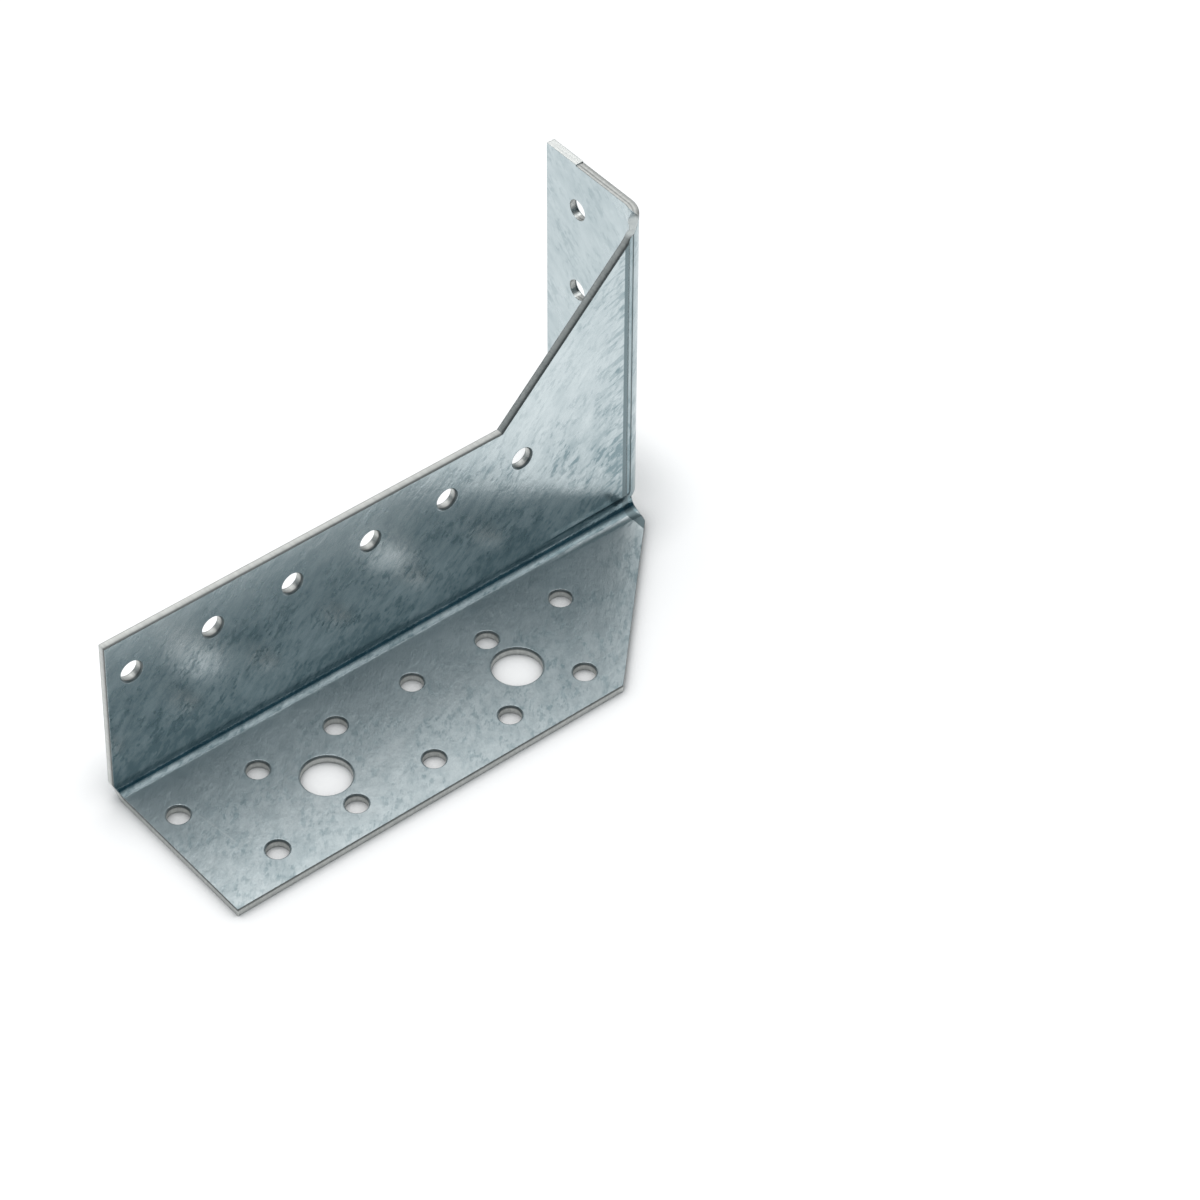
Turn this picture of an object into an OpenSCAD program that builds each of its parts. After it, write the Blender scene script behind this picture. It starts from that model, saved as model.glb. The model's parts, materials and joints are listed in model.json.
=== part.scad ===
// One half of a two-part joist hanger, folded from a single sheet of galvanised steel.
//
// It lies on its header flange. X runs along the cheek from the open end to the seat, Y from the
// header flange towards the seat, and Z away from the timber that the flange is fixed to. The
// origin is midway between the two bolt holes, on the flange's underside.

/* [Sheet] */
// Thickness of the steel
sheet_t = 2; // [1.5:0.1:2.5]
// Inside radius of the bend between header flange and cheek
header_bend_r = 2.2; // [2:0.1:4]
// Inside radius of the bend between cheek and seat
seat_bend_r = 5; // [4:0.1:7]

/* [Header flange] */
// Overall length, from the open end to the seat's outer face
body_len = 140.9; // [137:0.1:160]
// Overall width, from the flange's free edge to the cheek's joist face
header_w = 43.2; // [42:0.1:50]
// Angle between the flange's sloping end and a square end
end_cut_angle = 45; // [30:1:47]
// Distance from the cheek's near face at which the relief cut ends the sloping end
relief_depth = 5.5; // [5:0.5:9]
// How far the header bend runs on past the seat bend's tangent line
bend_run_on = 2.5; // [2:0.1:3]

/* [Cheek] */
// Height of the nailing strip above the flange's underside
cheek_h = 43; // [40:0.5:50]
// Slope of the flared edge
flare_angle = 45; // [40:1:50]
// How far the open end spreads where the header bend squeezes the metal
end_spread = 0.9; // [0.3:0.1:1.5]

/* [Seat] */
// Height of the seat's top above the flange's underside
seat_h = 81.1; // [74:0.1:90]
// Width of the seat, from its free edge to the cheek's near face
seat_w = 32.4; // [30:0.1:40]
// Radius of the seat's lower free corner
seat_corner_r = 2; // [1:0.5:4]
// Rise of the seat's top edge where the finished edge strip starts
edge_step = 0.25; // [0.1:0.05:0.5]
// Width of that edge strip
edge_strip_w = 9.6; // [8:0.1:16]

/* [Nail holes] */
// Diameter of a nail hole
nail_d = 5; // [4:0.1:6]
// Spacing along a row; a row has as many holes as its room takes
nail_pitch = 20; // [16:0.5:22]
// Centre of a row's first hole from the open end
nail_start = 5.9; // [5:0.1:8]
// Least distance, along a row, from a hole's centre to the sloping end
slope_margin = 8; // [6:0.5:12]
// Inner flange row from the cheek's near face
near_row = 12.7; // [11:0.1:14]
// Outer flange row from the cheek's near face
far_row = 33.1; // [32:0.1:35]
// Height of the cheek's row above the flange's underside
cheek_row = 33.3; // [28:0.1:36]
// Column of seat holes from the cheek's near face
seat_row = 22.2; // [18:0.1:26]
// Holes in the seat's column
seat_nail_count = 3; // [2:1:3]
// Spacing down the seat's column
seat_pitch = 22; // [18:0.5:24]
// Top seat hole from the seat's top edge
seat_nail_drop = 11.8; // [9:0.1:16]

/* [Bolt holes] */
// Diameter of a bolt hole
bolt_d = 11; // [9:0.5:13]
// Rim that the punch rounds over at each hole
rim = 0.3; // [0.1:0.05:0.4]

/* [Press marks] */
// Radius of the groove pressed up the outside of the seat bend
groove_r = 1.3; // [1:0.1:1.6]
// Depth of that groove
groove_depth = 0.35; // [0.2:0.05:0.5]
// Plain metal left between the groove's end and the seat's foot
groove_gap = 1.2; // [1:0.1:3]
// Radius of the two creases and the bead between them inside the seat bend
crease_r = 0.8; // [0.6:0.1:1]
// Depth of the creases and height of the bead
crease_depth = 0.3; // [0.2:0.05:0.4]
// How much rounder than the header bend the tool nose was that marked it beside the seat
nose_over = 0.7; // [0.4:0.1:1.2]
// How far the nose sank in at the seat end
nose_depth = 0.3; // [0.2:0.05:0.4]
// Length over which its mark fades out
nose_run = 26; // [18:1:40]

/* [Hidden] */
bend_fn = 96;
hole_fn = 48;
// Overshoot of every cutter past the face that it cuts
over = 1;
// Header flange
header_edge_y = sheet_t - header_w;
header_bend_outer = header_bend_r + sheet_t;
nose_r = header_bend_r + nose_over;
// Cheek and seat
seat_face_x = body_len - sheet_t;
seat_bend_outer = seat_bend_r + sheet_t;
seat_tangent_x = body_len - seat_bend_outer;
flare_start_x = seat_face_x - (seat_h - cheek_h) / tan(flare_angle);
bend_end_x = seat_tangent_x + bend_run_on;
header_edge_len = slope_x(-header_edge_y);
// The foot of the cheek and seat is the header bend's tangent line
foot_z = header_bend_outer;
seat_nail_top = seat_h - seat_nail_drop;
// Rows of nail holes; the outer row is staggered by half a pitch
far_start = nail_start + nail_pitch / 2;
near_count = row_count(nail_start, near_row);
far_count = row_count(far_start, far_row);
// Bolt holes, midway between the flange rows and in step with the nails
bolt_y = -(near_row + far_row) / 2;
bolt_first_x = nail_start + 1.5 * nail_pitch;
bolt_last_x = nail_start + (near_count - 2) * nail_pitch;
bolt_mid_x = (bolt_first_x + bolt_last_x) / 2;
// Directions from the seat bend's axis, in degrees from the cheek's tangent line
groove_turn = 12;
crease_turns = [27, 58];
bead_turn = (crease_turns[0] + crease_turns[1]) / 2;

// Where the flange's sloping end crosses a line this far out from the cheek's near face; it
// points at the seat's outer face
function slope_x(reach) = body_len - reach * tan(end_cut_angle);

// How many holes fit in a flange row
function row_count(start, reach) = 1 + floor((slope_x(reach) - slope_margin - start) / nail_pitch);

// A quarter tube of sheet about the Z axis, from +X to +Y
module bend(inside_r, run) {
    rotate_extrude(angle = 90, $fn = bend_fn)
        translate([inside_r, 0])
            square([sheet_t, run]);
}

// A punched hole through a sheet whose punch side is z = 0 and which lies below it
module punched_hole(d) {
    translate([0, 0, -sheet_t - over])
        cylinder(d = d, h = sheet_t + 2 * over, $fn = hole_fn);
    translate([0, 0, -rim])
        cylinder(d1 = d, d2 = d + 4 * rim, h = 2 * rim, $fn = hole_fn);
}

// Copies of a child in a straight row along X
module row(start, count, pitch) {
    for (i = [0:count - 1])
        translate([start + i * pitch, 0, 0])
            children();
}

module header_plate() {
    linear_extrude(sheet_t)
        polygon([
            [0, -header_bend_r],
            [0, header_edge_y],
            [header_edge_len, header_edge_y],
            [slope_x(relief_depth), -relief_depth],
            [bend_end_x, -header_bend_r],
        ]);
}

module header_bend() {
    translate([-end_spread, -header_bend_r, foot_z])
        rotate([90, 0, 90])
            rotate([0, 0, -90])
                bend(header_bend_r, end_spread + bend_end_x);
}

module header_holes() {
    translate([0, 0, sheet_t]) {
        translate([0, -near_row, 0])
            row(nail_start, near_count, nail_pitch)
                punched_hole(nail_d);
        translate([0, -far_row, 0])
            row(far_start, far_count, nail_pitch)
                punched_hole(nail_d);
        for (x = [bolt_first_x, bolt_last_x])
            translate([x, bolt_y, 0])
                punched_hole(bolt_d);
    }
}

// Cheek, seat bend and seat as one wall of the seat's full height
module folded_wall() {
    wall_h = seat_h - foot_z;
    translate([0, 0, foot_z]) {
        translate([-end_spread, 0, 0])
            cube([end_spread + seat_tangent_x, sheet_t, wall_h]);
        translate([seat_tangent_x, seat_bend_outer, 0])
            rotate([0, 0, -90])
                bend(seat_bend_r, wall_h);
        translate([seat_face_x, seat_bend_outer, 0])
            cube([sheet_t, seat_w - seat_bend_outer, wall_h]);
    }
}

// What the side view keeps of the bends and the wall: the open end, which spreads on the inside
// of the header bend, the nailing strip, then the flare that runs on through the seat bend
module side_outline() {
    translate([0, seat_w + over, 0])
        rotate([90, 0, 0])
            linear_extrude(seat_w + header_bend_r + 2 * over)
                polygon([
                    [0, -over],
                    [0, sheet_t],
                    [-end_spread, foot_z],
                    [0, cheek_h],
                    [flare_start_x, cheek_h],
                    [seat_face_x, seat_h],
                    [body_len + over, seat_h],
                    [body_len + over, -over],
                ]);
}

module cheek_holes() {
    translate([0, 0, cheek_row])
        row(nail_start, near_count, nail_pitch)
            rotate([90, 0, 0])
                punched_hole(nail_d);
}

module seat_holes() {
    translate([body_len, seat_row, seat_nail_top])
        rotate([0, 90, 0])
            row(0, seat_nail_count, seat_pitch)
                punched_hole(nail_d);
}

// Corner piece that leaves the seat's lower free corner round
module seat_corner_cut() {
    translate([seat_face_x - over, seat_w, foot_z])
        rotate([90, 0, 90])
            linear_extrude(sheet_t + 2 * over)
                difference() {
                    translate([-seat_corner_r, -over])
                        square(seat_corner_r + over);
                    translate([-seat_corner_r, seat_corner_r])
                        circle(seat_corner_r, $fn = hole_fn);
                }
}

// The bare part of the seat's top edge is a little lower than the finished strip
module seat_step_cut() {
    translate([seat_face_x - seat_bend_r, 0, seat_h - edge_step])
        cube([seat_bend_outer + over, seat_w - edge_strip_w, edge_step + over]);
}

// Groove pressed up the outside of the seat bend, with a round foot
module seat_groove() {
    sunk = groove_r - groove_depth;
    reach = seat_bend_outer + sunk;
    half_width = sqrt(groove_r ^ 2 - sunk ^ 2);
    translate([seat_tangent_x, seat_bend_outer, foot_z + groove_gap + half_width])
        rotate([0, 0, groove_turn])
            translate([0, -reach, 0]) {
                cylinder(r = groove_r, h = seat_h, $fn = hole_fn);
                sphere(groove_r, $fn = hole_fn);
            }
}

// Rounded rod up the inside of the seat bend, its axis this far from the bend's axis
module inner_rod(turn, reach, low, high) {
    translate([seat_tangent_x, seat_bend_outer, low])
        rotate([0, 0, turn])
            translate([0, -reach, 0])
                cylinder(r = crease_r, h = high - low, $fn = hole_fn);
}

// Two creases up the inside of the seat bend
module seat_creases() {
    reach = seat_bend_r - crease_r + crease_depth;
    for (turn = crease_turns)
        inner_rod(turn, reach, foot_z - over, seat_h + over);
}

// Low bead between the creases
module seat_bead() {
    inner_rod(bead_turn, seat_bend_r + crease_r - crease_depth, foot_z, seat_h);
}

// Mark of a tool nose that sank into the corner of the header bend towards the seat
module nose_mark() {
    sunk = nose_r - nose_depth;
    tilt = atan(nose_depth / nose_run);
    translate([bend_end_x, -sunk, sheet_t + sunk])
        rotate([0, tilt, tilt])
            translate([-nose_run - over, 0, 0])
                rotate([0, 90, 0])
                    cylinder(r = nose_r, h = nose_run + 2 * over, $fn = bend_fn);
}

module hanger() {
    color("LightSlateGray")
        translate([-bolt_mid_x, -bolt_y, 0])
            difference() {
                union() {
                    header_plate();
                    intersection() {
                        union() {
                            header_bend();
                            folded_wall();
                            seat_bead();
                        }
                        side_outline();
                    }
                }
                header_holes();
                cheek_holes();
                seat_holes();
                seat_corner_cut();
                seat_step_cut();
                seat_groove();
                seat_creases();
                nose_mark();
            }
}

hanger();
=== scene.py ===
"""One half of a two-part joist hanger: its galvanised finish, a pale studio and a camera."""

import json
import math

import bpy
from bpy.props import FloatProperty, FloatVectorProperty, PointerProperty
from mathutils import Matrix, Vector


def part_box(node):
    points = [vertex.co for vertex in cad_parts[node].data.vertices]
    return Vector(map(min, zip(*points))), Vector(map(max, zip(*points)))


bl_info = {
    "name": "Joist hanger",
    "version": (1, 0, 0),
    "blender": (4, 5, 0),
    "location": "View3D > Sidebar > Hanger",
    "description": "Finishes a folded steel joist hanger and sets it in a pale studio",
    "category": "3D View",
}

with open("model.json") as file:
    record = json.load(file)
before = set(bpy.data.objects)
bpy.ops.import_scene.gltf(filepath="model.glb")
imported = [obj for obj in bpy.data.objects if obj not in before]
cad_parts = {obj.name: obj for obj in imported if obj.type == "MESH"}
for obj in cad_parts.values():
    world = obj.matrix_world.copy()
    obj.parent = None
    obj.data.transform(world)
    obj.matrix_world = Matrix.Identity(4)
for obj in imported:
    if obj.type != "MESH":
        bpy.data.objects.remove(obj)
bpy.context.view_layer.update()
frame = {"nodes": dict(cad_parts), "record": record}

# Places on the hanger, read from its box and its mounts, in metres
MOUNTS = {mount["name"]: Vector(mount["pos_m"]) for mount in frame["record"]["mounts"]}
LOW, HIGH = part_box("hanger")
SEAT_INNER_X = MOUNTS["seat_face"].x
SHEET = HIGH.x - SEAT_INNER_X
CHEEK_FAR_Y = MOUNTS["joist_face"].y
CHEEK_NEAR_Y = CHEEK_FAR_Y - SHEET

# Inside radii of the two bends, and their radii at the middle of the sheet
HEADER_BEND = 0.0022
SEAT_BEND = 0.005
MID_HEADER_BEND = HEADER_BEND + SHEET / 2
MID_SEAT_BEND = SEAT_BEND + SHEET / 2
# Where the flats end and begin beside each bend
HEADER_TANGENT_Y = CHEEK_NEAR_Y - HEADER_BEND
FOOT_Z = SHEET + HEADER_BEND
SEAT_TANGENT_X = SEAT_INNER_X - SEAT_BEND
SEAT_TANGENT_Y = CHEEK_FAR_Y + SEAT_BEND
# Where the cheek begins in the flat blank, past the header bend
CHEEK_FOOT = HEADER_TANGENT_Y + math.pi / 2 * MID_HEADER_BEND
# A hair's breadth, for masks that must not split a face
HAIR = SHEET / 100
# How far a pattern shifts from one side of the sheet to the other
SIDE_SHIFT = 0.03

# Sizes of the cells in the zinc's patterns
CLOUD_CELL = 0.020
CLUSTER_CELL = 0.0075
SMOKE_CELL = 0.0034
FLECK_CELL = 0.0014
# Direction of the rolling and handling marks in the flat blank, and how far they are drawn out
GRAIN = math.radians(47.0)
GRAIN_STRETCH = 2.0
# The same for the strokes that the press tool left beside the seat bend's groove
STROKES = math.radians(17.0)
STROKE_STRETCH = 5.0
# Middle, along the blank, and half width of the dark side of that groove, where shade is painted
GROOVE_SIDE = SEAT_TANGENT_X + 0.0004
GROOVE_HALF = 0.0008

# Places in the blank between which a mark fades in or out
# Along it: the strokes, the dull inside of the header bend and the duller seat end of the flange
STROKE_FADE = (SEAT_TANGENT_X - 0.011, SEAT_TANGENT_X - 0.001)
FOLD_FADE = (0.03, 0.06)
SEAT_END_FADE = (0.02, 0.06)
# Across it: the painted light on the flange beside the fold, the painted shade above the fold, and
# the cheek's mottling, darker low down
LIGHT_BESIDE_FOLD_FADE = (HEADER_TANGENT_Y - 0.016, HEADER_TANGENT_Y)
SHADE_ABOVE_FOLD_FADE = (CHEEK_FOOT, CHEEK_FOOT + 0.012)
LOW_CHEEK_FADE = (CHEEK_FOOT + 0.014, CHEEK_FOOT + 0.042)

# The side of a punched rim where the most shade is painted: it faces the flange's corner at the
# open end
SHADED_RIM_SIDE = Vector((-0.64, -0.77))
# Where a glint is painted on the sloping edge at the seat bend, and how far from there it fades
GLINT_CORNER = (SEAT_TANGENT_X + 0.0031, CHEEK_NEAR_Y + 0.0019, HIGH.z - 0.0021)
GLINT_FADE = (0.0016, 0.0030)
# Bright strip of the seat's top edge, from its free corner
EDGE_STRIP = 0.0096
# Cell of the fine tearing on the sheared edges, and how little of it changes through the sheet
TEAR_CELL = 0.0006
TEAR_DEPTH = 0.0002

# How high and how strong the zinc's relief is
RELIEF_HEIGHT = 0.00006
RELIEF_STRENGTH = 0.4

# The paper: its width, its colour, and how far and how steeply the shade beside the hanger falls
PAPER_WIDTH = 6.0
PAPER_COLOUR = (0.6, 0.6, 0.6, 1.0)
SHADE_REACH = 0.016
SHADE_POWER = 8.0
WHITE = (1.0, 1.0, 1.0, 1.0)
# Cosines of the angles from the brightest direction where the surround is darkest and white
DARK_COSINE = 0.40
WHITE_COSINE = 0.92
# The camera's sensor in millimetres, and the nearest and the farthest that it sees
SENSOR_WIDTH = 36.0
NEAREST = 0.01
FARTHEST = 20.0


def on_cheek(x, z):
    """Where a point of the cheek lies in the blank."""
    return (x, CHEEK_FOOT + z - FOOT_Z)


# Fine scratches: both ends in the blank, and the width
SCRATCHES = (
    (on_cheek(-0.0364, 0.0082), on_cheek(-0.0214, 0.0237), 0.0004),
    (on_cheek(-0.0317, 0.0102), on_cheek(-0.0265, 0.0215), 0.0003),
    (on_cheek(0.0134, 0.0324), on_cheek(0.0245, 0.0436), 0.0004),
    ((-0.0520, 0.0090), (-0.0500, -0.0060), 0.0003),
)


class Wire:
    """A node's output, with the sums that the finishes use."""

    def __init__(self, graph, socket):
        self.graph = graph
        self.socket = socket

    def __add__(self, other):
        return self.graph.math("ADD", self, other)

    def __radd__(self, other):
        return self.graph.math("ADD", other, self)

    def __sub__(self, other):
        return self.graph.math("SUBTRACT", self, other)

    def __rsub__(self, other):
        return self.graph.math("SUBTRACT", other, self)

    def __mul__(self, other):
        return self.graph.math("MULTIPLY", self, other)

    def __rmul__(self, other):
        return self.graph.math("MULTIPLY", other, self)

    def __truediv__(self, other):
        return self.graph.math("DIVIDE", self, other)

    def __abs__(self):
        return self.graph.math("ABSOLUTE", self)

    def at_least(self, low):
        return self.graph.math("MAXIMUM", self, low)

    def at_most(self, high):
        return self.graph.math("MINIMUM", self, high)

    def ramp(self, low, high):
        """0 below low and 1 above high, with a smooth rise between; low may be the larger one."""
        settings = {"interpolation_type": "SMOOTHSTEP"}
        sockets = {"Value": self, "From Min": low, "From Max": high}
        return self.graph.node("ShaderNodeMapRange", settings, sockets)[0]


class Outputs:
    """A node's outputs as wires, by name or by number."""

    def __init__(self, graph, sockets):
        self.graph = graph
        self.sockets = sockets

    def __getitem__(self, name):
        return Wire(self.graph, self.sockets[name])


class Graph:
    """A material's or the world's nodes."""

    def __init__(self, owner):
        owner.use_nodes = True
        self.tree = owner.node_tree
        self.tree.nodes.clear()

    def node(self, kind, settings=None, sockets=None):
        """Adds a node, sets it up and feeds its sockets. Returns its outputs."""
        made = self.tree.nodes.new(kind)
        for name, value in (settings or {}).items():
            setattr(made, name, value)
        for name, value in (sockets or {}).items():
            socket = made.inputs[name]
            if isinstance(value, Wire):
                self.tree.links.new(value.socket, socket)
            else:
                socket.default_value = value
        return Outputs(self, made.outputs)

    def math(self, operation, *values):
        """One sum on numbers or wires."""
        sockets = dict(enumerate(values))
        return self.node("ShaderNodeMath", {"operation": operation}, sockets)[0]

    def blend(self, factor, first, second):
        """A colour between two colours; a Mix node's colour sockets come after its other kinds."""
        sockets = {0: factor, 6: first, 7: second}
        return self.node("ShaderNodeMix", {"data_type": "RGBA"}, sockets)[2]

    def noise(self, place, cell, detail, roughness):
        """A cloudy pattern from about 0.2 to 0.8, with cells of this many metres."""
        sockets = {
            "Vector": place,
            "Scale": 1.0 / cell,
            "Detail": detail,
            "Roughness": roughness,
        }
        return self.node("ShaderNodeTexNoise", sockets=sockets)[0]

    def parts(self, vector):
        """The three numbers of a vector."""
        numbers = self.node("ShaderNodeSeparateXYZ", sockets={"Vector": vector})
        return numbers["X"], numbers["Y"], numbers["Z"]

    def joined(self, x, y, z):
        """A vector of three numbers."""
        return self.node("ShaderNodeCombineXYZ", sockets={"X": x, "Y": y, "Z": z})[0]

    def turned(self, place, angle, stretch):
        """A place in the blank, for a pattern that runs at this angle and is drawn out along it."""
        sockets = {"Vector": place, "Rotation": (0.0, 0.0, angle), "Scale": (stretch, 1.0, 1.0)}
        return self.node("ShaderNodeMapping", {"vector_type": "TEXTURE"}, sockets)[0]


def rgba(colour):
    """A colour with its alpha, as a socket takes it."""
    return (*colour, 1.0)


class HangerFinish(bpy.types.PropertyGroup):
    """Colours and gloss of the galvanised sheet."""

    zinc: FloatVectorProperty(
        name="Zinc",
        description="Colour of the galvanised faces",
        subtype="COLOR",
        size=3,
        min=0.0,
        max=1.0,
        default=(0.655, 0.72, 0.735),
    )
    # Also the colour that the painted shade above the fold and in the groove runs to
    dull_zinc: FloatVectorProperty(
        name="Dull zinc",
        description="Colour of the darker flecks and drag marks",
        subtype="COLOR",
        size=3,
        min=0.0,
        max=1.0,
        default=(0.25, 0.335, 0.362),
    )
    cut_steel: FloatVectorProperty(
        name="Cut steel",
        description="Colour of the sheared edges and punched walls",
        subtype="COLOR",
        size=3,
        min=0.0,
        max=1.0,
        default=(0.64, 0.65, 0.63),
    )
    # Also the colour of the painted shade at the borders, the rims and the groove
    edge_shade: FloatVectorProperty(
        name="Edge shade",
        description="Colour of the borders and scars of the sheared edges",
        subtype="COLOR",
        size=3,
        min=0.0,
        max=1.0,
        default=(0.07, 0.08, 0.08),
    )
    # Also the colour of the painted glint and of the light scratches
    edge_strip: FloatVectorProperty(
        name="Edge strip",
        description="Colour of the coated strip on the seat's top edge",
        subtype="COLOR",
        size=3,
        min=0.0,
        max=1.0,
        default=(0.88, 0.90, 0.88),
    )
    roughness: FloatProperty(
        name="Roughness",
        description="Roughness of the clean zinc on the cheek",
        subtype="FACTOR",
        min=0.0,
        max=1.0,
        default=0.205,
    )
    flange_matt: FloatProperty(
        name="Flange matt",
        description="How much rougher the header flange is",
        subtype="FACTOR",
        min=0.0,
        max=1.0,
        default=0.16,
    )
    edge_radius: FloatProperty(
        name="Edge radius",
        description="Softness of the sheared edges",
        unit="LENGTH",
        min=0.0,
        max=0.001,
        precision=5,
        default=0.00025,
    )


class HangerStudio(bpy.types.PropertyGroup):
    """The camera's place, the softbox and the surround."""

    azimuth: FloatProperty(
        name="Azimuth",
        description="Turn of the camera round the hanger",
        subtype="ANGLE",
        default=math.radians(-39.75),
    )
    elevation: FloatProperty(
        name="Elevation",
        description="Height of the camera as an angle",
        subtype="ANGLE",
        default=math.radians(44.26),
    )
    roll: FloatProperty(
        name="Roll",
        description="Lean of the camera about its own axis",
        subtype="ANGLE",
        default=math.radians(0.46),
    )
    distance: FloatProperty(
        name="Distance",
        description="From the camera to the point that it looks at",
        unit="LENGTH",
        default=0.9693,
    )
    lens: FloatProperty(
        name="Lens",
        description="Focal length on a 36 mm sensor",
        unit="CAMERA",
        default=136.0,
    )
    aim: FloatVectorProperty(
        name="Aim",
        description="The point on the floor that the camera looks at",
        subtype="TRANSLATION",
        unit="LENGTH",
        size=3,
        default=(0.0525, 0.006, 0.0),
    )
    brightest: FloatVectorProperty(
        name="Brightest",
        description="Direction of the brightest part of the surround",
        subtype="DIRECTION",
        size=3,
        default=(0.20, 0.42, 0.885),
    )
    surround: FloatVectorProperty(
        name="Surround",
        description="Colour of the surround at its darkest",
        subtype="COLOR",
        size=3,
        min=0.0,
        max=1.0,
        default=(0.03, 0.08, 0.105),
    )
    key_power: FloatProperty(
        name="Key power",
        description="Power of the softbox overhead",
        unit="POWER",
        min=0.0,
        default=4.5,
    )
    softbox_size: FloatProperty(
        name="Softbox size",
        description="Width of the square softbox",
        unit="LENGTH",
        min=0.0,
        default=1.05,
    )
    softbox_place: FloatVectorProperty(
        name="Softbox place",
        description="Where the softbox hangs",
        subtype="TRANSLATION",
        unit="LENGTH",
        size=3,
        default=(-0.05, 0.05, 1.0),
    )
    paper_glow: FloatProperty(
        name="Paper glow",
        description="Share of the paper's white that no shadow takes away",
        subtype="FACTOR",
        min=0.0,
        max=1.0,
        default=0.58,
    )


class Bend:
    """A quarter bend of the sheet between two flats, measured from the bend's axis."""

    def __init__(self, graph, past, short):
        """Takes how far a point lies past the first flat's end and short of the second's start."""
        self.past = past.at_least(0.0)
        self.short = short.at_least(0.0)
        # 0 on the first flat and a quarter turn on the second
        self.turn = graph.math("ARCTAN2", self.past, self.short)
        # How far out from the axis
        self.out = graph.math("SQRT", self.past * self.past + self.short * self.short)

    def through(self, along_first, along_second):
        """1 on faces that look through the sheet and 0 on those that look along it.

        Takes the parts of the face's normal along the two flats.
        """
        return abs((along_first * self.past - along_second * self.short) / self.out)


class FoldedSheet:
    """Where a point lies in the flat blank that the hanger was folded from."""

    def __init__(self, graph):
        self.graph = graph
        self.place = graph.node("ShaderNodeTexCoord")["Object"]
        x, y, z = graph.parts(self.place)
        normal = graph.node("ShaderNodeNewGeometry")["True Normal"]
        normal_x, normal_y, normal_z = graph.parts(normal)
        header = Bend(graph, y - HEADER_TANGENT_Y, FOOT_Z - z)
        seat = Bend(graph, x - SEAT_TANGENT_X, SEAT_TANGENT_Y - y)
        self.y = y
        self.upward = normal_z
        self.header_turn = header.turn
        self.seat_turn = seat.turn
        # 1 on the header flange and its bend, and 0 above them
        self.low = 1 - z.ramp(FOOT_Z - 2 * HAIR, FOOT_Z - HAIR)
        # 1 on the flange and 1 on the seat, each changing on the way round its bend
        self.flange = 1 - header.turn.ramp(0.65, 0.9)
        self.seat = seat.turn.ramp(0.5, 1.2)

        # Depth in the sheet, from 0 on the side that was punched to 1 on the far side
        low_depth = (header.out - HEADER_BEND) / SHEET
        high_depth = 1 - (seat.out - SEAT_BEND) / SHEET
        self.depth = self.either(low_depth, high_depth)
        self.punched_side = 1 - self.depth.ramp(0.3, 0.7)

        # Place in the blank, whose far side has a pattern of its own
        past_seat_bend = (y - SEAT_TANGENT_Y).at_least(0.0)
        past_header_bend = (z - FOOT_Z).at_least(0.0)
        self.along = x.at_most(SEAT_TANGENT_X) + seat.turn * MID_SEAT_BEND + past_seat_bend
        self.across = y.at_most(HEADER_TANGENT_Y) + header.turn * MID_HEADER_BEND + past_header_bend
        self.blank = graph.joined(self.along, self.across, self.depth * SIDE_SHIFT)

        # Sheared faces look along the sheet, and the rounded rims of the holes aslant through it
        through = self.either(header.through(normal_y, normal_z), seat.through(normal_x, normal_y))
        self.sheared = 1 - through.ramp(0.45, 0.6)
        self.rim = (1 - through.ramp(0.78, 0.9)) * self.punched_side
        # Painted shade on the rims is strongest on this side
        self.shaded_rim_side = (normal_x * SHADED_RIM_SIDE.x + normal_y * SHADED_RIM_SIDE.y).ramp(0.1, 0.5)

    def either(self, low, high):
        """The first value on the header flange and its bend, and the second one above them."""
        return low * self.low + high * (1 - self.low)

    def distance(self, point):
        """Distance from a point on the folded hanger."""
        settings = {"operation": "DISTANCE"}
        return self.graph.node("ShaderNodeVectorMath", settings, {0: self.place, 1: point})["Value"]

    def scratch(self, start, end, width):
        """1 on a thin line between two points of the blank, fading at its ends."""
        run = Vector(end) - Vector(start)
        sockets = {
            "Vector": self.blank,
            "Location": (*start, 0.0),
            "Rotation": (0.0, 0.0, math.atan2(run.y, run.x)),
            "Scale": (run.length, width, 1.0),
        }
        line = self.graph.node("ShaderNodeMapping", {"vector_type": "TEXTURE"}, sockets)[0]
        along, beside, _ = self.graph.parts(line)
        faded = along.ramp(0.0, 0.2) * along.ramp(1.0, 0.7)
        return faded * abs(beside).ramp(1.0, 0.2) * self.punched_side


class ZincPattern:
    """The zinc's own marks, from 0 where it is clean to 1."""

    def __init__(self, graph, sheet):
        grain = graph.turned(sheet.blank, GRAIN, GRAIN_STRETCH)
        clouds = graph.noise(sheet.blank, CLOUD_CELL, detail=2.0, roughness=0.6)
        patches = graph.noise(sheet.blank, CLUSTER_CELL, detail=3.0, roughness=0.65)
        wisps = graph.noise(grain, SMOKE_CELL, detail=4.0, roughness=0.75)
        specks = graph.noise(grain, FLECK_CELL, detail=2.0, roughness=0.7)
        self.cloud = clouds.ramp(0.32, 0.68)
        self.clusters = patches.ramp(0.42, 0.58)
        self.smoke = wisps.ramp(0.30, 0.70)
        # Flecks are thin outside the clusters
        self.flecks = specks.ramp(0.46, 0.62) * (self.clusters * 0.8 + 0.2)


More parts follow.
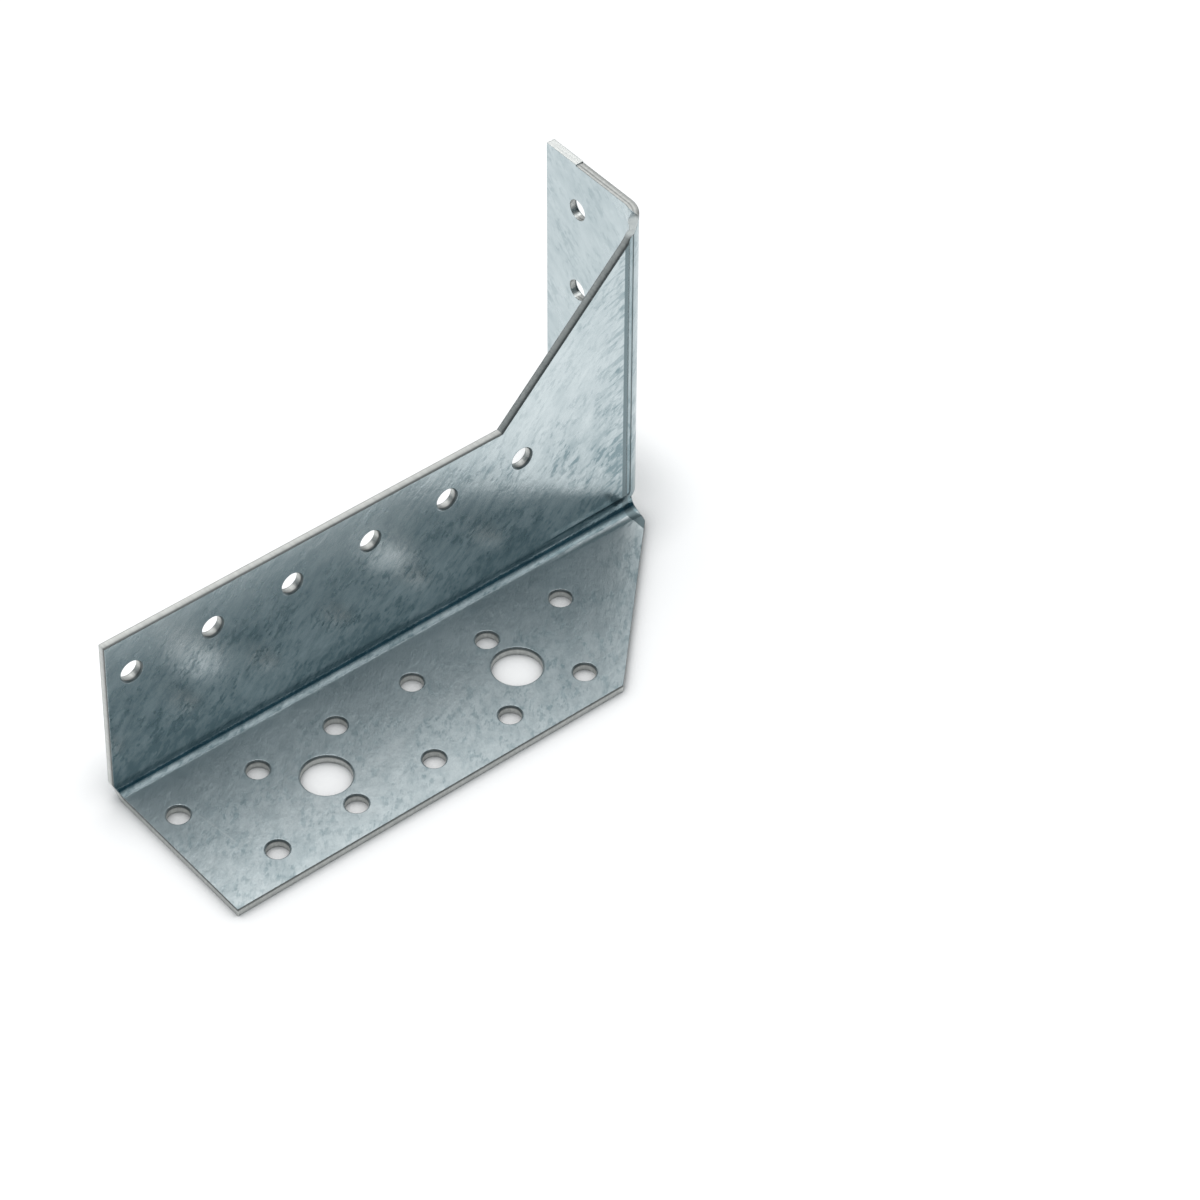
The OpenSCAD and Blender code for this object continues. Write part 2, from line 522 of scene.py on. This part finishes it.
class PressMarks:
    """Where the press tools left their marks, and where light and shade are painted beside the
    bends, from 0 to 1.
    """

    def __init__(self, graph, sheet):
        # Round the header bend
        off_flange = sheet.header_turn.ramp(0.05, 0.2)
        self.in_fold = off_flange * sheet.flange * (1 - sheet.along.ramp(*FOLD_FADE))
        # Painted shade on the cheek just above the fold
        self.shade_above_fold = off_flange * (1 - sheet.across.ramp(*SHADE_ABOVE_FOLD_FADE)) * (1 - sheet.seat)
        # Painted light on the flange beside the fold
        self.light_beside_fold = sheet.across.ramp(*LIGHT_BESIDE_FOLD_FADE) * (1 - off_flange)
        self.seat_end = sheet.along.ramp(*SEAT_END_FADE) * sheet.flange
        # Round the seat bend
        self.outside_bend = sheet.seat_turn.ramp(0.05, 0.25) * sheet.punched_side
        from_groove = (sheet.along - GROOVE_SIDE) / GROOVE_HALF
        # Painted shade along the groove's dark side, beside its relief
        self.in_groove = (1 - abs(from_groove).ramp(0.8, 1.15)) * sheet.punched_side
        self.drag = self.drag_strokes(graph, sheet)

    @staticmethod
    def drag_strokes(graph, sheet):
        """Strokes on the cheek, from the seat bend's groove."""
        place = graph.turned(sheet.blank, STROKES, STROKE_STRETCH)
        strokes = graph.noise(place, FLECK_CELL, detail=3.0, roughness=0.6).ramp(0.50, 0.62)
        before_bend = 1 - sheet.seat_turn.ramp(0.05, 0.15)
        return strokes * sheet.along.ramp(*STROKE_FADE) * before_bend * sheet.punched_side


def dullness_shade_and_light(sheet, zinc, marks):
    """How far the zinc is from clean, from 0 to 1, with painted shade and painted light added."""
    # Mottling on the cheek, stronger on the side that was punched and darker towards the bottom
    on_cheek_face = (1 - (sheet.flange + sheet.seat) * 0.7) * (sheet.punched_side * 0.5 + 0.5)
    low_on_cheek = 1 - sheet.across.ramp(*LOW_CHEEK_FADE) * 0.85
    cheek_mottle = (zinc.cloud * 0.6 + 0.4) * on_cheek_face * low_on_cheek
    mottled = (zinc.flecks * 0.5 + zinc.smoke * 0.4 + zinc.clusters * 0.12 + 0.1) * cheek_mottle
    # Marks all over
    mottled = mottled + zinc.flecks * 0.18 + zinc.smoke * 0.18 + zinc.cloud * 0.14
    # Wear from the press tools, the bends and handling, with painted shade and light by the bends
    tool_marks_and_groove_shade = marks.drag * 0.4 + marks.in_groove
    bend_wear_shade_and_light = marks.outside_bend * 0.4 + marks.shade_above_fold * 0.35 - marks.light_beside_fold * 0.45
    face_wear = sheet.flange * (zinc.flecks * 0.1 + zinc.smoke * 0.06) + sheet.seat * 0.15
    worn_and_shaded = tool_marks_and_groove_shade + bend_wear_shade_and_light + face_wear + marks.seat_end * 0.15
    return (mottled + worn_and_shaded).at_least(0.0).at_most(1.0)


def zinc_face(graph, sheet, finish):
    """Colour, roughness and relief of the rolled faces: clouded zinc with slanting flecks, and
    painted shade and light at the rims, the groove and the header bend.
    """
    zinc = ZincPattern(graph, sheet)
    marks = PressMarks(graph, sheet)
    colour = graph.blend(dullness_shade_and_light(sheet, zinc, marks), rgba(finish.zinc), rgba(finish.dull_zinc))
    # Painted shade: darker rims on the holes, most on one side, and a darker groove beside the seat
    # bend
    painted_rim_and_groove_shade = sheet.rim * (sheet.shaded_rim_side * 0.5 + 0.25) + marks.in_groove * 0.4
    colour = graph.blend(painted_rim_and_groove_shade, colour, rgba(finish.edge_shade))
    scratched = sum(sheet.scratch(*scratch) for scratch in SCRATCHES)
    colour = graph.blend(scratched * 0.18, colour, rgba(finish.edge_strip))

    pattern_matt = zinc.flecks * 0.06 + zinc.cloud * 0.05
    bend_matt = marks.in_fold * 0.18 - marks.shade_above_fold * 0.05
    face_matt = sheet.flange * finish.flange_matt + sheet.seat * 0.05 + sheet.rim * 0.25
    roughness = pattern_matt + bend_matt + face_matt + finish.roughness
    relief = zinc.smoke * 1.2 - zinc.flecks * 0.3 - marks.drag * 0.3
    return colour, roughness, relief


def sheared_face(graph, sheet, finish):
    """Colour and roughness of the bare edges, dark along both borders, partly with painted shade.

    The sheet's depth runs from 0 on the side that was punched to 1 on the far side.
    """
    flat_top = sheet.upward.ramp(0.8, 0.9)
    slope = sheet.upward.ramp(0.6, 0.68) * (1 - flat_top)
    seat_top = sheet.seat * flat_top
    strip_start = HIGH.y - EDGE_STRIP
    strip = sheet.y.ramp(strip_start - HAIR, strip_start + HAIR) * flat_top
    place = graph.joined(sheet.along, sheet.across, sheet.depth * TEAR_DEPTH)
    drawn = graph.noise(place, TEAR_CELL, detail=3.0, roughness=0.6)

    # Darker: torn metal towards the punched side, a torn line along the seat's top, fine streaks,
    # and painted shade on the sloping edge
    tear = (sheet.depth.ramp(0.48, 0.60) - sheet.depth.ramp(0.64, 0.76)) * seat_top
    torn = (1 - sheet.depth.ramp(0.3, 0.8)) * (1 - sheet.low) * (1 - seat_top)
    shaded = torn * 0.25 + tear * 0.45 + slope * 0.15 + drawn.ramp(0.35, 0.65) * 0.12
    bare = graph.blend(shaded.at_most(1.0), rgba(finish.cut_steel), rgba(finish.edge_shade))

    # Borders: a rolled-over edge on the punched side, painted darker as shade there and at the top
    # of each hole's wall, and a burr on the far side
    rolled_edge_and_shade = (1 - sheet.depth.ramp(0.16, 0.44)) * (1 - seat_top * 0.6)
    burr = sheet.depth.ramp(0.88, 0.98) * 0.4
    border = (rolled_edge_and_shade + burr) * (0.85 - strip * 0.6)
    bordered = graph.blend(border, bare, rgba(finish.edge_shade))

    # Bright: the coated strip, and a painted glint at the corner
    painted_glint = 1 - sheet.distance(GLINT_CORNER).ramp(*GLINT_FADE)
    bright = (strip * 0.9 + painted_glint).at_most(1.0)
    colour = graph.blend(bright, bordered, rgba(finish.edge_strip))
    roughness = drawn * 0.1 + 0.36 - strip * 0.1 + painted_glint * 0.1
    return colour, roughness


def galvanised_steel(finish):
    """Semi-matt zinc over steel, with bare edges where the sheet was cut and punched."""
    material = bpy.data.materials.new("galvanised_steel")
    graph = Graph(material)
    sheet = FoldedSheet(graph)
    zinc, zinc_roughness, relief = zinc_face(graph, sheet, finish)
    bare, bare_roughness = sheared_face(graph, sheet, finish)
    colour = graph.blend(sheet.sheared, zinc, bare)
    roughness = zinc_roughness * (1 - sheet.sheared) + bare_roughness * sheet.sheared

    soft = graph.node("ShaderNodeBevel", {"samples": 4}, {"Radius": finish.edge_radius})[0]
    raised = {
        "Strength": RELIEF_STRENGTH,
        "Distance": RELIEF_HEIGHT,
        "Height": relief,
        "Normal": soft,
    }
    bumped = graph.node("ShaderNodeBump", sockets=raised)[0]
    coated = {
        "Base Color": colour,
        "Roughness": roughness,
        "Metallic": 1.0,
        "Normal": bumped,
    }
    shader = graph.node("ShaderNodeBsdfPrincipled", sockets=coated)[0]
    graph.node("ShaderNodeOutputMaterial", sockets={"Surface": shader})
    return material


class HANGER_OT_finish(bpy.types.Operator):
    """Give the folded sheet its galvanised finish"""

    bl_idname = "hanger.finish"
    bl_label = "Finish the hanger"

    def execute(self, context):
        node = frame["nodes"]["hanger"]
        node.data.materials.clear()
        node.data.materials.append(galvanised_steel(context.scene.hanger_finish))
        return {"FINISHED"}


def floor_paper(studio):
    """Matt white paper that keeps the shadow, and glows where it is looked at and lies open."""
    material = bpy.data.materials.new("floor_paper")
    graph = Graph(material)
    path = graph.node("ShaderNodeLightPath")
    looked_at = (path["Is Camera Ray"] + path["Is Glossy Ray"]).at_most(1.0)
    open_sky = graph.node("ShaderNodeAmbientOcclusion", {"samples": 2}, {"Distance": SHADE_REACH})
    open_share = graph.math("POWER", open_sky["AO"], SHADE_POWER)
    glow = {"Color": WHITE, "Strength": open_share * studio.paper_glow}
    shine = graph.node("ShaderNodeEmission", sockets=glow)[0]
    paper = graph.node("ShaderNodeBsdfDiffuse", sockets={"Color": PAPER_COLOUR})[0]
    glowing = graph.node("ShaderNodeAddShader", sockets={0: paper, 1: shine})[0]
    shader = graph.node("ShaderNodeMixShader", sockets={0: looked_at, 1: paper, 2: glowing})[0]
    graph.node("ShaderNodeOutputMaterial", sockets={"Surface": shader})
    return material


def add_floor(studio):
    """The sheet of paper that the hanger lies on."""
    bpy.ops.object.select_all(action="DESELECT")
    bpy.ops.mesh.primitive_plane_add(size=PAPER_WIDTH, location=(0.0, 0.0, LOW.z))
    floor = bpy.context.object
    floor.name = "floor"
    floor.data.materials.append(floor_paper(studio))


def light_studio(studio):
    """A surround that is white overhead and beyond the hanger, and dark low down around it."""
    world = bpy.context.scene.world or bpy.data.worlds.new("studio")
    bpy.context.scene.world = world
    graph = Graph(world)
    path = graph.node("ShaderNodeLightPath")
    direction = graph.node("ShaderNodeTexCoord")["Generated"]
    brightest = Vector(studio.brightest).normalized()
    settings = {"operation": "DOT_PRODUCT"}
    cosine = graph.node("ShaderNodeVectorMath", settings, {0: direction, 1: brightest})["Value"]
    lit = cosine.ramp(DARK_COSINE, WHITE_COSINE).at_least(path["Is Camera Ray"])
    colour = graph.blend(lit, rgba(studio.surround), WHITE)
    shader = graph.node("ShaderNodeBackground", sockets={"Color": colour})[0]
    graph.node("ShaderNodeOutputWorld", sockets={"Surface": shader})


def add_softbox(studio):
    """A square lamp overhead, turned to the origin between the bolt holes."""
    data = bpy.data.lights.new("softbox", "AREA")
    data.shape = "SQUARE"
    data.size = studio.softbox_size
    data.energy = studio.key_power
    lamp = bpy.data.objects.new("softbox", data)
    place = Vector(studio.softbox_place)
    lamp.location = place
    lamp.rotation_euler = (-place).to_track_quat("-Z", "Y").to_euler()
    bpy.context.scene.collection.objects.link(lamp)


def add_camera(studio):
    """A long lens at the studio's azimuth, elevation and distance from the aim."""
    data = bpy.data.cameras.new("camera")
    data.sensor_width = SENSOR_WIDTH
    data.lens = studio.lens
    data.clip_start = NEAREST
    data.clip_end = FARTHEST
    camera = bpy.data.objects.new("camera", data)
    flat = math.cos(studio.elevation)
    back = Vector((
        math.sin(studio.azimuth) * flat,
        -math.cos(studio.azimuth) * flat,
        math.sin(studio.elevation),
    ))
    turn = back.to_track_quat("Z", "Y").to_matrix() @ Matrix.Rotation(studio.roll, 3, "Z")
    place = Vector(studio.aim) + back * studio.distance
    camera.matrix_world = Matrix.Translation(place) @ turn.to_4x4()
    bpy.context.scene.collection.objects.link(camera)
    bpy.context.scene.camera = camera


class HANGER_OT_stage(bpy.types.Operator):
    """Lay the floor, light the studio and set up the camera"""

    bl_idname = "hanger.stage"
    bl_label = "Set the stage"

    def execute(self, context):
        studio = context.scene.hanger_studio
        context.scene.view_settings.view_transform = "Standard"
        add_floor(studio)
        light_studio(studio)
        add_softbox(studio)
        add_camera(studio)
        return {"FINISHED"}


class HANGER_PT_panel(bpy.types.Panel):
    """Buttons and values of the joist hanger"""

    bl_label = "Joist hanger"
    bl_idname = "HANGER_PT_panel"
    bl_space_type = "VIEW_3D"
    bl_region_type = "UI"
    bl_category = "Hanger"

    def draw(self, context):
        for group in (context.scene.hanger_finish, context.scene.hanger_studio):
            box = self.layout.box()
            for name in group.__annotations__:
                box.prop(group, name)
        for operator in OPERATORS:
            self.layout.operator(operator.bl_idname)


OPERATORS = (HANGER_OT_finish, HANGER_OT_stage)
CLASSES = (HangerFinish, HangerStudio, *OPERATORS, HANGER_PT_panel)


def register():
    for cls in CLASSES:
        bpy.utils.register_class(cls)
    bpy.types.Scene.hanger_finish = PointerProperty(type=HangerFinish)
    bpy.types.Scene.hanger_studio = PointerProperty(type=HangerStudio)


def unregister():
    del bpy.types.Scene.hanger_studio
    del bpy.types.Scene.hanger_finish
    for cls in reversed(CLASSES):
        bpy.utils.unregister_class(cls)


def main():
    register()
    bpy.ops.hanger.finish()
    bpy.ops.hanger.stage()


if __name__ == "__main__":
    main()
